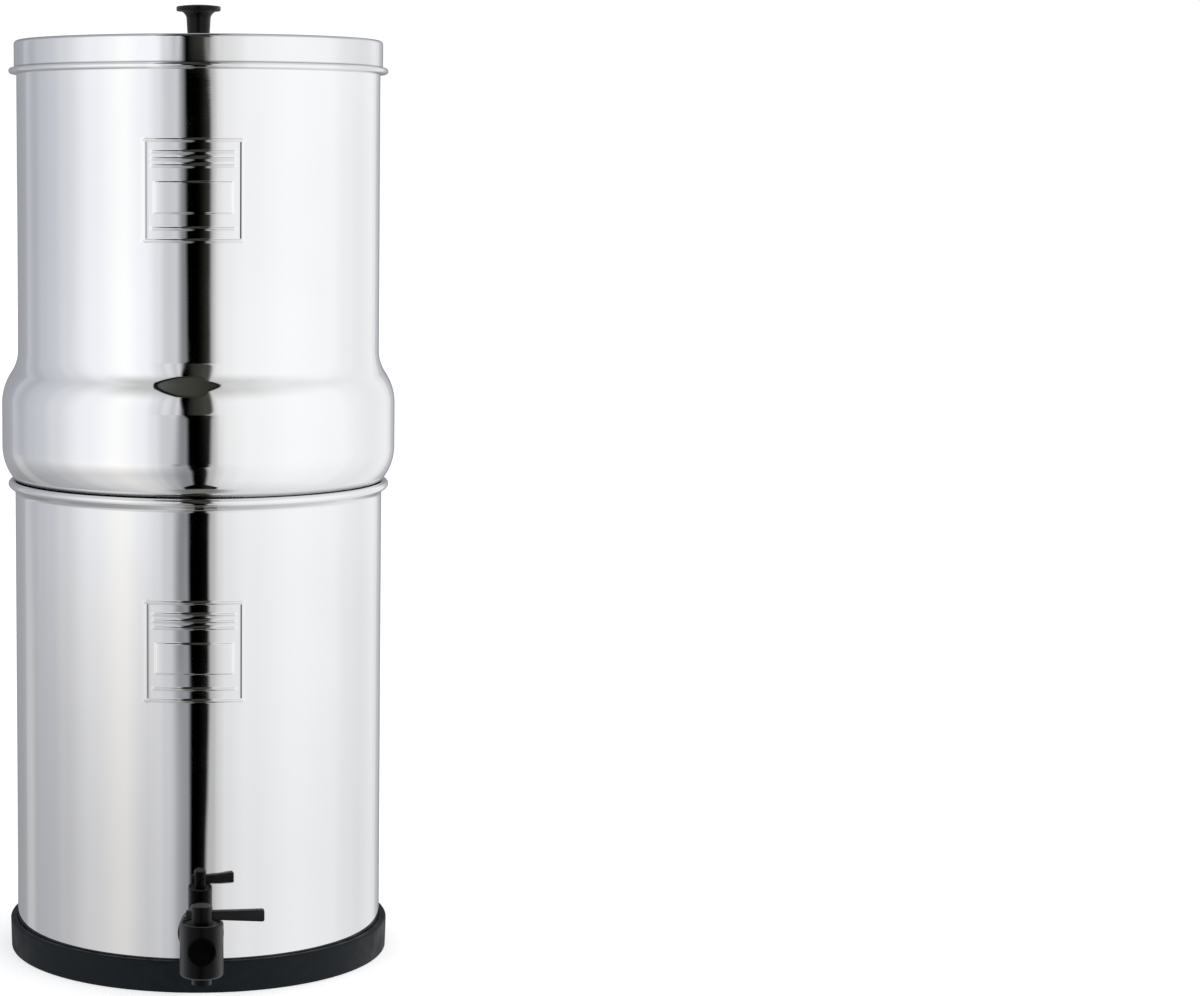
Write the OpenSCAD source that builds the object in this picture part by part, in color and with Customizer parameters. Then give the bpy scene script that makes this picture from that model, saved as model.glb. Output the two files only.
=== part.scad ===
// Gravity water filter: two stacked steel chambers, a lid with a knob,
// ceramic filter candles in the upper chamber and a lever tap on the lower one.
// Millimetres, +Z up. The origin is on the floor, on the axis of the chambers;
// the tap is at the front, on the -Y side.

/* [Chambers] */
// Outer radius of the lower chamber's wall
lower_r = 106.3; // [104:0.1:109]
// Thickness of the sheet that the chambers and the lid are made of
wall = 0.8; // [0.6:0.1:1.0]
// Height of the middle of the lower chamber's rolled rim above the floor
rim_z = 273.1; // [255:1:290]
// How far the outside of the upper chamber lies inside the outside of the lower one
upper_step = 1.9; // [1.6:0.1:2.2]
// Height of the upper chamber from its flat bottom to its top edge
upper_h = 276.2; // [250:1:290]
// How far the bulge stands out from the upper chamber's wall
bulge_out = 9.3; // [8.8:0.1:9.8]
// Length of the straight band in the middle of the bulge
bulge_band = 24.8; // [20:0.2:30]

/* [Lid] */
// Height of the lid's band from its rolled edge to its flat top
lid_h = 17.2; // [15:0.2:20]
// Radius of the knob's head
knob_r = 12.7; // [11:0.1:15]
// Height of the knob above the lid
knob_h = 20.7; // [18:0.1:24]

/* [Base ring] */
// Height of the ring that the lower chamber stands in
ring_h = 17.8; // [16:0.1:20]
// How far the ring stands out from the chamber's wall
ring_out = 4.2; // [3.5:0.1:5]

/* [Filter candles] */
// Number of candles
candles = 4; // [2:1:4]
// Outer radius of a ceramic candle
candle_r = 25; // [22:0.5:26]
// Length of the ceramic shell
candle_h = 182; // [150:1:190]
// Distance of each candle from the chamber's axis
candle_at = 58; // [54:0.5:62]

/* [Tap] */
// Height of the tap's shank above the floor
tap_z = 34.5; // [33:0.5:40]
// Distance from the chamber's wall to the tap's upright axis
tap_reach = 40; // [37:0.5:50]
// Outer radius of the tap's barrel
barrel_r = 11.9; // [11.5:0.1:13]
// Radius of the spout
spout_r = 5.5; // [5.5:0.1:6]
// Length of the lever from the tap's upright axis to its tip
lever_l = 34; // [28:0.5:45]

/* [Badge] */
// Width of the bare framed panel pressed into each chamber
badge_w = 55; // [40:1:60]
// Height of the bare framed panel
badge_h = 56; // [44:1:64]
// How far the upper chamber's badge is turned from the front, to the tap's left, in degrees
upper_turn = 2.2; // [0:0.1:4]
// How far the lower chamber's badge is turned from the front
lower_turn = 1.9; // [0:0.1:4]

/* [Hidden] */
$fn = 160;

STEEL = [0.80, 0.81, 0.82];
BLACK = [0.05, 0.05, 0.055];
eps = 0.01;
seat_gap = 0.3;                       // upper chamber above the rim, lid above the chamber

// lower chamber
bead_r = 2.4;                         // rolled rim's section
rim_at = lower_r + 1.6;               // radius of the middle of the rolled rim
foot_z = 4;                           // underside of the lower chamber's foot
foot_r = lower_r - 14;                // inner edge of the foot
floor_z = 9;                          // raised middle of the lower chamber's bottom
corner_r = 6;

// upper chamber
upper_r = lower_r - upper_step;
bulge_r = upper_r + bulge_out;
sh_a = 34;                            // steepest slope of the shoulder, degrees from upright
sh_sum = bulge_out / (1 - cos(sh_a)); // the two shoulder arcs' radii together
sh_out = sh_sum * 0.58;               // outward arc, below
sh_in = sh_sum - sh_out;              // inward arc, above
und_r = 30;                           // arc under the bulge, which sits on the rim
und_x = bulge_r - und_r;
und_z = rim_z + sqrt(pow(und_r + bead_r + seat_gap, 2) - pow(rim_at - und_x, 2));
fil_r = 4;                            // hollow fillet from that arc to the nesting skirt
fil_a = acos((upper_r + fil_r - und_x) / (und_r + fil_r)); // where arc and fillet meet
fil_z = und_z - (und_r + fil_r) * sin(fil_a);
band_z = und_z + bulge_band;          // top of the straight band
neck_z = band_z + sh_sum * sin(sh_a); // foot of the upper chamber's straight wall
upper_bot = 250 + (rim_z - 273.1);    // underside of the upper chamber
upper_top = upper_bot + upper_h;      // its top edge
edge_r = 1.3;                         // top edge's curl

// lid
lid_r = upper_r + 1.4;                // outside of the lid's band
lid_top = upper_top + seat_gap + wall;
lid_bead_r = 1.8;
lid_bead_at = lid_r + 1.3;
lid_bead_z = lid_top - lid_h;
lid_corner = 2.2;

// tap
tap_y = -(lower_r + tap_reach);
barrel_top = tap_z + 15.3;
barrel_bot = tap_z - 14;
spout_bot = barrel_bot - 4.7;
recess_d = 2.5;                       // recess round the plug in the barrel's top
plug_r = 7.5;                         // bore for the plug
plug_gap = 0.05;
plug_bot = barrel_bot + 5.5;
hub_r = 5.95;
hub_top = barrel_top + 9.4;
water_r = 4;                          // waterway
port_r = 3.5;                         // waterway in the plug
shank_r = 7.9;
flange_r = 12.8;
neck_r = 8.4;
flange_y = -(lower_r + 2);            // face of the flange that presses the outer washer
nut_y = -(lower_r - wall - 3);        // face of the nut that presses the inner washer
shank_end = nut_y + 16;
cap_z = tap_z + 1.8;
cap_r = 7.7;
cap_end = tap_y - plug_r - 1.1;       // back end of the front cap's hub
lever_z = barrel_top + 4;             // middle of the lever
lever_t = 5;                          // lever's width

// candles
plate_z = upper_bot + wall;           // upper face of the upper chamber's bottom
washer_t = 3;
mount_z = plate_z + washer_t;
cup_t = 4.2;
shell_z = mount_z + cup_t;
stem_r = 6;
stem_bot = upper_bot - 28;

function arc(x, z, r, a0, a1, n) =
    [for (i = [0:n]) let (a = a0 + (a1 - a0) * i / n) [x + r * cos(a), z + r * sin(a)]];

module ring(r0, r1, z0, z1) {
    translate([0, 0, z0]) difference() {
        cylinder(r = r1, h = z1 - z0);
        translate([0, 0, -1]) cylinder(r = r0, h = z1 - z0 + 2);
    }
}
module along_y(x, z, y0, y1, r) {
    translate([x, y1, z]) rotate([90, 0, 0]) cylinder(r = r, h = y1 - y0);
}

// ---- upper chamber's outline, d inside its outer face, from the bottom's middle up
function upper_path(d) = concat(
    [[0, upper_bot + d]],
    arc(upper_r - 8, upper_bot + 8, 8 - d, -90, 0, 12),
    arc(upper_r + fil_r, fil_z, fil_r + d, 180, 180 - fil_a, 8),
    arc(und_x, und_z, und_r - d, -fil_a, 0, 20),
    arc(bulge_r - sh_out, band_z, sh_out - d, 0, sh_a, 18),
    arc(upper_r + sh_in, neck_z, sh_in + d, 180 + sh_a, 180, 14));

// ---- the bare badge: a raised frame, four straight ribs and a plain plate
module badge_ridge(r, w, h, t, up) {
    intersection() {
        ring(r - 0.3, r + up, -h / 2 - 1, h / 2 + 1);
        difference() {
            translate([-w / 2, -r - 5, -h / 2]) cube([w, r, h]);
            if (t > 0) translate([-w / 2 + t, -r - 6, -h / 2 + t]) cube([w - 2 * t, r + 2, h - 2 * t]);
        }
    }
}
module badge(r, z, turn) {
    translate([0, 0, z]) rotate([0, 0, -turn]) {
        badge_ridge(r, badge_w, badge_h, 1.6, 0.5);
        for (h = [-20.6, 13.2, 17, 20.8]) translate([0, 0, h]) badge_ridge(r, badge_w - 9, 1.2, 0, 0.35);
        translate([0, 0, -3.8]) badge_ridge(r, badge_w - 12, 17, 0, 0.4);
    }
}

module base_ring() {
    color(BLACK) rotate_extrude() polygon(concat(
        [[foot_r - 1, 0], [lower_r + ring_out - 0.5 - 1, 0]],
        arc(lower_r + ring_out - 0.5 - 1, 1, 1, -90, 0, 6),
        arc(lower_r + ring_out - 1.2, ring_h - 1.2, 1.2, 0, 90, 6),
        [[lower_r + 0.9, ring_h], [lower_r + 0.1, ring_h - 0.8], [lower_r + 0.1, foot_z + corner_r]],
        arc(lower_r - corner_r, foot_z + corner_r, corner_r + 0.1, -4, -84, 10),
        [[lower_r - corner_r, foot_z], [foot_r - 1, foot_z]]));
}

module lower_chamber() {
    color(STEEL) difference() {
        union() {
            rotate_extrude() polygon(concat(
                [[0, floor_z], [foot_r - 5, floor_z], [foot_r, foot_z]],
                arc(lower_r - corner_r, foot_z + corner_r, corner_r, -90, 0, 12),
                [[lower_r, rim_z - 4.4], [lower_r + 3.1, rim_z - 1.6],
                 [rim_at, rim_z], [lower_r - wall, rim_z]],
                arc(lower_r - corner_r, foot_z + corner_r, corner_r - wall, 0, -90, 12),
                [[foot_r + 0.33, foot_z + wall], [foot_r - 5 + 0.33, floor_z + wall], [0, floor_z + wall]]));
            rotate_extrude() translate([rim_at, rim_z]) circle(r = bead_r, $fn = 64);
            badge(lower_r, rim_z - 82.5, lower_turn);
        }
        along_y(0, tap_z, -lower_r - 5, -lower_r + 12, shank_r + 0.2);
        // the hollow of the rolled rim
        rotate_extrude() translate([rim_at, rim_z]) circle(r = bead_r - wall, $fn = 64);
    }
}

module upper_chamber() {
    color(STEEL) difference() {
        union() {
            rotate_extrude() polygon(concat(
                upper_path(0), [[upper_r, upper_top - edge_r], [upper_r - wall, upper_top - edge_r]],
                [for (i = [len(upper_path(wall)) - 1:-1:0]) upper_path(wall)[i]]));
            // curled top edge
            rotate_extrude() translate([upper_r - edge_r, upper_top - edge_r]) circle(r = edge_r, $fn = 48);
            badge(upper_r, upper_bot + 193, upper_turn);
        }
        each_candle() translate([0, 0, upper_bot - 1]) cylinder(r = stem_r + 0.4, h = wall + 2);
    }
}

module each_candle() {
    for (i = [0:candles - 1]) rotate([0, 0, 45 + i * 360 / candles]) translate([candle_at, 0, 0]) children();
}

module candle_shells() {
    top = shell_z + candle_h;
    color([0.93, 0.91, 0.86]) each_candle() rotate_extrude() polygon(concat(
        [[candle_r - 8, shell_z], [candle_r, shell_z]],
        arc(candle_r - 14, top - 14, 14, 0, 90, 12),
        [[0, top], [0, top - 8]],
        arc(candle_r - 14, top - 14, 6, 90, 0, 8)));
}
module candle_cores() {
    color([0.08, 0.08, 0.08]) each_candle() translate([0, 0, shell_z])
        cylinder(r = candle_r - 8.3, h = candle_h - 16);
}
module candle_mounts() {
    color([0.92, 0.93, 0.94]) each_candle() difference() {
        rotate_extrude() polygon(concat(
            [[0, stem_bot], [stem_r - 0.8, stem_bot], [stem_r, stem_bot + 0.8], [stem_r, mount_z],
             [candle_r - 2, mount_z], [candle_r + 1.6, mount_z + 3]],
            arc(candle_r + 0.8, shell_z + 6, 0.8, 0, 160, 8),
            [[candle_r + 0.05, shell_z], [0, shell_z]]));
        translate([0, 0, stem_bot - 1]) cylinder(r = 1.9, h = shell_z - stem_bot + 2);
    }
}
module candle_washers() {
    color([0.75, 0.78, 0.80]) each_candle() ring(stem_r + 0.05, 14, plate_z, mount_z);
}
module wing_nut() {
    difference() {
        union() {
            translate([0, 0, -9]) cylinder(r1 = 8.6, r2 = 10, h = 9);
            for (s = [0, 180]) rotate([0, 0, s]) translate([0, 1.5, 0]) rotate([90, 0, 0])
                linear_extrude(3) intersection() {
                    union() {
                        polygon([[7, 0], [16, -3], [21, -8.5], [16, -14], [7, -9]]);
                        translate([16, -8.5]) circle(r = 5.5);
                    }
                    translate([7, -15]) square([20, 15]);
                }
        }
        translate([0, 0, -10]) cylinder(r = stem_r + 0.04, h = 11);
    }
}
module candle_wing_nuts() {
    color([0.92, 0.93, 0.94]) each_candle() translate([0, 0, upper_bot]) rotate([0, 0, 30]) wing_nut();
}

module lid() {
    color(STEEL) difference() {
        union() {
            rotate_extrude() polygon(concat(
                [[0, lid_top]],
                arc(lid_r - lid_corner, lid_top - lid_corner, lid_corner, 90, 0, 10),
                [[lid_r, lid_bead_z], [lid_r - wall, lid_bead_z]],
                arc(lid_r - lid_corner, lid_top - lid_corner, lid_corner - wall, 0, 90, 10),
                [[0, lid_top - wall]]));
            rotate_extrude() translate([lid_bead_at, lid_bead_z]) circle(r = lid_bead_r, $fn = 64);
        }
        translate([0, 0, lid_top - 5]) cylinder(r = 2.6, h = 10);
        // the hollow of the rolled edge
        rotate_extrude() translate([lid_bead_at, lid_bead_z]) circle(r = lid_bead_r - wall, $fn = 64);
    }
}
module lid_knob() {
    head = 2.7;                        // thickness of the head's edge
    crown = 1.0;                       // rise of its domed top
    hz = lid_top + knob_h - crown - head;
    stem = hz - lid_top;
    dome = (knob_r * knob_r + crown * crown) / (2 * crown);
    da = asin((knob_r - 0.8) / dome);
    color(BLACK) difference() {
        rotate_extrude() polygon(concat(
            [[0, lid_top], [6.2, lid_top], [6.9, hz - 4.6]],
            arc(11.7, hz - 4.6, 4.8, 180, 118, 10),
            [[knob_r - 0.8, hz], [knob_r, hz + 0.8], [knob_r, hz + head - 0.8]],
            [for (i = [0:14]) let (a = da * (1 - i / 14)) [dome * sin(a), hz + head + crown - dome + dome * cos(a)]]));
        translate([0, 0, lid_top - 1]) cylinder(r = 2.05, h = 11);
    }
}
module lid_knob_screw() {
    hz = lid_top - wall - 1;
    color(STEEL) difference() {
        union() {
            rotate_extrude() polygon(concat([[0, hz], [4.6, hz]],
                [[4.6, hz - 1.2]], arc(2.6, hz - 1.2, 2, 0, -90, 8), [[0, hz - 3.2]]));
            translate([0, 0, hz - 1]) cylinder(r = 2, h = 1 + wall + 1 + 8);
        }
        for (a = [0, 90]) rotate([0, 0, a]) translate([-2.4, -0.5, hz - 4]) cube([4.8, 1, 2.4]);
    }
}
module lid_knob_washer() {
    color(STEEL) ring(2.6, 7, lid_top - wall - 1, lid_top - wall);
}

module tap_body() {
    color(BLACK) difference() {
        union() {
            translate([0, tap_y, 0]) {
                rotate_extrude() polygon(concat(
                    [[0, barrel_bot], [barrel_r - 1.6, barrel_bot]],
                    arc(barrel_r - 1.6, barrel_bot + 1.6, 1.6, -90, 0, 6),
                    arc(barrel_r - 0.8, barrel_top - 0.8, 0.8, 0, 90, 4),
                    [[0, barrel_top]]));
                translate([0, 0, spout_bot]) cylinder(r = spout_r, h = 8);
            }
            // neck, flared where it leaves the barrel and where it meets the flange
            neck = flange_y - 4 - tap_y;   // from the barrel's axis to the flange's front face
            translate([0, tap_y, tap_z]) rotate([-90, 0, 0]) rotate_extrude() polygon(concat(
                [[0, 0], [neck_r + 1.2, 0]],
                arc(neck_r + 18.2, 13, 18.2, 200.9, 180, 6),
                arc(neck_r + 2.6, neck - 2.6, 2.6, 180, 90, 8),
                arc(flange_r - 1.2, neck + 1.2, 1.2, -90, 0, 6),
                [[flange_r, neck + 4], [0, neck + 4]]));
            along_y(0, tap_z, flange_y - 1, shank_end, shank_r);
        }
        translate([0, tap_y, 0]) {
            translate([0, 0, barrel_top - recess_d]) cylinder(r = 10.3, h = 5);
            translate([0, 0, plug_bot]) cylinder(r = plug_r, h = barrel_top - plug_bot);
            translate([0, 0, spout_bot - 1]) cylinder(r = water_r, h = plug_bot - spout_bot + 2);
        }
        along_y(0, tap_z, tap_y, shank_end + 1, water_r);
        along_y(0, cap_z, tap_y - 20, cap_end + 0.1, 6);
    }
    // stop inside the barrel
    color(BLACK) translate([0, tap_y, barrel_top - recess_d - 2]) intersection() {
        difference() {
            cylinder(r = plug_r + 0.4, h = 2);
            translate([0, 0, -1]) cylinder(r = 6.5, h = 4);
        }
        rotate([0, 0, 35]) translate([0, 0, -1]) linear_extrude(4) polygon([[0, 0], [20, -3.5], [20, 3.5]]);
    }
}
module tap_front_cap() {
    y0 = tap_y - barrel_r - 1.1;
    color(BLACK) difference() {
        union() {
            translate([0, y0, cap_z]) rotate([-90, 0, 0]) rotate_extrude() polygon([
                [0, 0], [cap_r - 0.7, 0], [cap_r, 0.7], [cap_r, 5], [0, 5]]);
            along_y(0, cap_z, y0 + 1, cap_end, 5.98);
        }
        // its hub ends in the barrel's wall
        along_y(0, cap_z, cap_end, cap_end + 10, cap_r + 2);
        // hollow back that follows the barrel
        translate([0, tap_y, cap_z - 12]) difference() {
            cylinder(r = barrel_r, h = 24);
            translate([0, 0, 12]) rotate([90, 0, 0]) cylinder(r = 5.98, h = 30);
        }
    }
}
module tap_outer_washer() {
    color([0.12, 0.12, 0.12]) difference() {
        along_y(0, tap_z, flange_y, flange_y + 6, flange_r - 0.2);
        along_y(0, tap_z, flange_y - 1, flange_y + 7, shank_r + 0.05);
        cylinder(r = lower_r, h = 100);
    }
}
module tap_inner_washer() {
    color([0.12, 0.12, 0.12]) intersection() {
        difference() {
            along_y(0, tap_z, nut_y - 6, nut_y, 12.5);
            along_y(0, tap_z, nut_y - 7, nut_y + 1, shank_r + 0.05);
        }
        cylinder(r = lower_r - wall, h = 100);
    }
}
module tap_back_nut() {
    color(BLACK) difference() {
        union() {
            translate([0, nut_y + 8, tap_z]) rotate([90, 0, 0]) rotate([0, 0, 30]) cylinder(r = 13.6, h = 7, $fn = 6);
            along_y(0, tap_z, nut_y, nut_y + 2, 13);
        }
        along_y(0, tap_z, nut_y - 1, nut_y + 9, shank_r + 0.04);
    }
}
module tap_retaining_ring() {
    color(BLACK) translate([0, tap_y, 0])
        ring(hub_r + 0.3, 10.25, barrel_top - recess_d, barrel_top - recess_d + 1.4);
}
module tap_plug() {
    r = plug_r - plug_gap;
    top = barrel_top - recess_d - 0.1;
    color(BLACK) translate([0, tap_y, 0]) difference() {
        union() {
            translate([0, 0, plug_bot + 0.1]) cylinder(r = r, h = top - plug_bot - 0.1);
            rotate_extrude() polygon(concat([[0, top - 1], [hub_r, top - 1]],
                arc(hub_r - 1.4, hub_top - 1.4, 1.4, 0, 90, 6), [[0, hub_top]]));
        }
        // waterway: up from the spout, then out sideways
        translate([0, 0, plug_bot - 1]) cylinder(r = port_r, h = tap_z - plug_bot + 1);
        translate([0, 0, tap_z]) rotate([0, -90, 0]) cylinder(r = port_r, h = 20);
        translate([0, 0, tap_z]) sphere(r = port_r);
        // seal grooves
        for (z = [plug_bot + 2.6, tap_z + 7.5]) ring(5.62, r + 1, z - 0.95, z + 0.95);
        // room for the stop over a quarter turn
        translate([0, 0, top - 2]) intersection() {
            difference() {
                cylinder(r = 12, h = 3);
                translate([0, 0, -1]) cylinder(r = 6.2, h = 5);
            }
            translate([0, 0, -1]) linear_extrude(5) polygon(concat([[0, 0]],
                [for (a = [23:6:137]) [20 * cos(a), 20 * sin(a)]]));
        }
        // slot for the lever
        translate([-10, -lever_t / 2 - 0.02, lever_z - 2.32]) cube([20, lever_t + 0.04, 4.64]);
    }
}
module tap_plug_seals() {
    color([0.12, 0.12, 0.12]) translate([0, tap_y, 0])
        for (z = [plug_bot + 2.6, tap_z + 7.5])
            translate([0, 0, z]) rotate_extrude() translate([6.55, 0]) circle(r = 0.9, $fn = 32);
}
module tap_lever() {
    color(BLACK) translate([0, tap_y + lever_t / 2, 0]) rotate([90, 0, 0]) linear_extrude(lever_t)
        polygon([[-hub_r - 2.5, lever_z - 2.3], [hub_r, lever_z - 2.3], [lever_l, lever_z - 3.4],
                 [lever_l, lever_z + 3], [hub_r, lever_z + 2.3], [-hub_r - 2.5, lever_z + 2.3]]);
}

base_ring();
lower_chamber();
tap_body();
tap_front_cap();
tap_outer_washer();
tap_inner_washer();
tap_back_nut();
tap_retaining_ring();
tap_plug();
tap_plug_seals();
tap_lever();
upper_chamber();
candle_shells();
candle_cores();
candle_mounts();
candle_washers();
candle_wing_nuts();
lid();
lid_knob();
lid_knob_screw();
lid_knob_washer();
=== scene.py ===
import math

import bmesh
import bpy
import numpy as np
from mathutils import Matrix, Vector


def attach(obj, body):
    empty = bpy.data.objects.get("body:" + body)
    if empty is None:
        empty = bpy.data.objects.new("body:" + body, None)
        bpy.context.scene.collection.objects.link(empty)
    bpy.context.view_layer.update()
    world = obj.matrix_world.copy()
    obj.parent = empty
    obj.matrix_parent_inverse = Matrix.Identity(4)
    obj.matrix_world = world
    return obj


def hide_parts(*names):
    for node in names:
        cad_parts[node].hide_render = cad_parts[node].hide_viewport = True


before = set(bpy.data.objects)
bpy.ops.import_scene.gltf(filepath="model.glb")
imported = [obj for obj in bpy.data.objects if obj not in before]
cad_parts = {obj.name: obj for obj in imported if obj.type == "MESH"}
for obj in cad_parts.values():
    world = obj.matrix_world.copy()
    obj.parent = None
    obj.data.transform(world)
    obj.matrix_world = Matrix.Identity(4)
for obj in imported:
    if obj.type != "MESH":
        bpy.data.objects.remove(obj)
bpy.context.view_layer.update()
scene = bpy.context.scene
MM = 0.001

# ---------------------------------------------------------------- sizes, in mm
LOWER_R, WALL = 106.3, 0.8
UPPER_R = 104.4
RIM_R, RIM_Z, BEAD_R = 107.9, 273.1, 2.4
LOWER_BADGE_Z, UPPER_BADGE_Z = 190.6, 443.0
LOWER_TURN, UPPER_TURN = 1.9, 2.2
UPPER_BOT, UPPER_TOP = 250.0, 526.2
BULGE_R = 113.7
LID_R, LID_TOP = 105.8, 527.3
LID_BEAD_R, LID_BEAD_Z, LID_BEAD = 107.1, 510.1, 1.8
TAP_Y, TAP_Z = -146.3, 34.5
CANDLE_AT, CANDLE_R, CANDLE_H = 58.0, 25.0, 182.0
PLATE_Z, MOUNT_Z, SHELL_Z, STEM_BOT, STEM_R = 250.8, 253.8, 258.0, 222.0, 6.0


# ---------------------------------------------------------------- outlines and turned meshes
def arc(x, z, r, a0, a1, n):
    out = []
    for i in range(n + 1):
        a = math.radians(a0 + (a1 - a0) * i / n)
        out.append((x + r * math.cos(a), z + r * math.sin(a)))
    return out


def fillet(a, corner, b, r, n=8):
    """The corner of a polyline, rounded with radius r."""
    c = Vector(corner)
    u, v = (Vector(a) - c).normalized(), (Vector(b) - c).normalized()
    half = u.angle(v) / 2
    t = r / math.tan(half)
    centre = c + (u + v).normalized() * (r / math.sin(half))
    p, q = c + u * t, c + v * t
    a0 = math.atan2(p.y - centre.y, p.x - centre.x)
    a1 = math.atan2(q.y - centre.y, q.x - centre.x)
    while a1 - a0 > math.pi:
        a1 -= 2 * math.pi
    while a1 - a0 < -math.pi:
        a1 += 2 * math.pi
    return [
        (
            centre.x + r * math.cos(a0 + (a1 - a0) * i / n),
            centre.y + r * math.sin(a0 + (a1 - a0) * i / n),
        )
        for i in range(n + 1)
    ]


def rounded(points, radii, n=6):
    """A polyline whose inner corners are rounded; radii has one number for each point."""
    out = [points[0]]
    for i in range(1, len(points) - 1):
        if radii[i]:
            out += fillet(points[i - 1], points[i], points[i + 1], radii[i], n)
        else:
            out.append(points[i])
    return out + [points[-1]]


def rows_of(points, close=False, step=9.0):
    """Drops doubled points, and adds rows near the ends of each straight run, so that a bend doesn't pull the shading of the flat wall beside it."""
    pts = []
    for p in points:
        if not pts or math.dist(p, pts[-1]) > 0.004:
            pts.append(p)
    if close and math.dist(pts[0], pts[-1]) <= 0.004:
        pts.pop()
    out = []
    n = len(pts)
    for i in range(n if close else n - 1):
        a, b = pts[i], pts[(i + 1) % n]
        length = math.dist(a, b)
        out.append(a)
        if length <= 1.5:
            continue
        near = [0.12, 0.45] + ([1.4] if length > 6 else [])
        inner = length - 2 * near[-1]
        k = max(1, math.ceil(inner / step))
        at = near + [near[-1] + inner * j / k for j in range(1, k)]
        at += [length - x for x in reversed(near)]
        for x in at:
            t = x / length
            out.append((a[0] + (b[0] - a[0]) * t, a[1] + (b[1] - a[1]) * t))
    if not close:
        out.append(pts[-1])
    return out


def mesh_from(name, verts, faces):
    me = bpy.data.meshes.new(name)
    me.from_pydata([tuple(v) for v in verts], [], faces)
    me.validate()
    o = bpy.data.objects.new(name, me)
    scene.collection.objects.link(o)
    return o


def finish_mesh(o, sharp=42.0):
    me = o.data
    bm = bmesh.new()
    bm.from_mesh(me)
    bmesh.ops.recalc_face_normals(bm, faces=bm.faces)
    bm.to_mesh(me)
    bm.free()
    me.shade_smooth()
    me.set_sharp_from_angle(angle=math.radians(sharp))
    me.update()
    return o


def turned_arrays(points, close=False, angles=None, shift=None, step=9.0):
    """Vertices and faces of an outline (radius, height) turned round Z. The outline runs anticlockwise. shift(r, z, angles) moves a row outward."""
    pts = rows_of(points, close, step)
    if angles is None:
        angles = np.linspace(0, 2 * math.pi, 160, endpoint=False)
    n = len(angles)
    ca, sa = np.cos(angles), np.sin(angles)
    verts, start = [], []
    for r, z in pts:
        start.append(len(verts))
        if r < 1e-6:
            verts.append((0.0, 0.0, z * MM))
            continue
        rr = np.full(n, r)
        if shift is not None:
            rr = rr + shift(r, z, angles)
        verts += list(
            zip(
                (rr * ca * MM).tolist(),
                (rr * sa * MM).tolist(),
                [z * MM] * n,
            )
        )
    faces = []
    m = len(pts)
    for i in range(m if close else m - 1):
        j = (i + 1) % m
        one, two = pts[i][0] < 1e-6, pts[j][0] < 1e-6
        a, b = start[i], start[j]
        for k in range(n):
            l = (k + 1) % n
            if one and two:
                break
            if one:
                faces.append((a, b + l, b + k))
            elif two:
                faces.append((a + k, a + l, b))
            else:
                faces.append((a + k, a + l, b + l, b + k))
    return verts, faces


def turned(name, points, **kw):
    sharp = kw.pop("sharp", 42.0)
    v, f = turned_arrays(points, **kw)
    return finish_mesh(mesh_from(name, v, f), sharp)


def place(arrays, matrix):
    v, f = arrays
    return [tuple(matrix @ Vector(p)) for p in v], f


def together(*parts):
    verts, faces = [], []
    for v, f in parts:
        k = len(verts)
        verts += v
        faces += [tuple(i + k for i in face) for face in f]
    return verts, faces


def bake_modifiers(o):
    dg = bpy.context.evaluated_depsgraph_get()
    me = bpy.data.meshes.new_from_object(o.evaluated_get(dg))
    o.modifiers.clear()
    o.data = me
    return o


def cut(o, cutter):
    """Cuts holes with a closed mesh, which is then removed."""
    m = o.modifiers.new("cut", "BOOLEAN")
    m.operation = "DIFFERENCE"
    m.solver = "EXACT"
    m.object = cutter
    bpy.context.view_layer.update()
    bake_modifiers(o)
    bpy.data.objects.remove(cutter)
    return o


def straight_pin(radius, length, matrix, n=64):
    """A closed round bar along the matrix's Z, to cut a hole."""
    return place(
        turned_arrays(
            [(0, 0), (radius, 0), (radius, length), (0, length)],
            angles=np.linspace(0, 2 * math.pi, n, endpoint=False),
            step=1000,
        ),
        matrix,
    )


# ---------------------------------------------------------------- the badge's relief, and the columns and rows that carry it
def smooth(x):
    x = np.clip(x, 0, 1)
    return x * x * (3 - 2 * x)


def inside(u, half, w=0.75):
    return 1 - smooth((np.abs(u) - half + w / 2) / w)


RIBS = (-20.6, 13.2, 17.0, 20.8)
ACROSS, UPWARD = 26.7, 27.2  # the raised frame's middle line, out from the badge's centre


def crest(d, half):
    """A soft pressed ridge: 1 on its middle line, 0 from half away."""
    return 1 - smooth(np.abs(d) / half)


def relief(u, v):
    """Height of the bare badge in mm: a raised frame, four straight ribs and a plain plate."""
    sides = 0.23 * crest(np.abs(u) - ACROSS, 1.5) * inside(v, UPWARD + 1.0, 1.4)
    ends = 0.5 * crest(np.abs(v) - UPWARD, 1.2) * inside(u, ACROSS + 1.0, 1.4)
    ribs = sum(inside(u, 23.0, 1.6) * crest(v - h, 1.15) for h in RIBS)
    plate = inside(u, 21.5, 1.7) * inside(v + 3.8, 8.5, 1.2)
    return np.maximum(sides, ends) + 0.47 * ribs + 0.45 * plate


def ladder(edges, reach, coarse):
    """Positions from -reach to reach, close together at each (edge, half width) and coarse elsewhere."""
    at = {-reach, reach, 0.0}
    for e, half in edges:
        for t in (-1, -0.75, -0.5, -0.25, 0, 0.25, 0.5, 0.75, 1):
            at.add(round(e + t * half, 3))
    at = sorted(x for x in at if -reach <= x <= reach)
    at = [x for i, x in enumerate(at) if i == 0 or x - at[i - 1] > 0.1 or x == reach]
    out = []
    for a, b in zip(at, at[1:]):
        k = max(1, math.ceil((b - a) / coarse))
        out += [a + (b - a) * i / k for i in range(k)]
    return out + [at[-1]]


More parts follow.
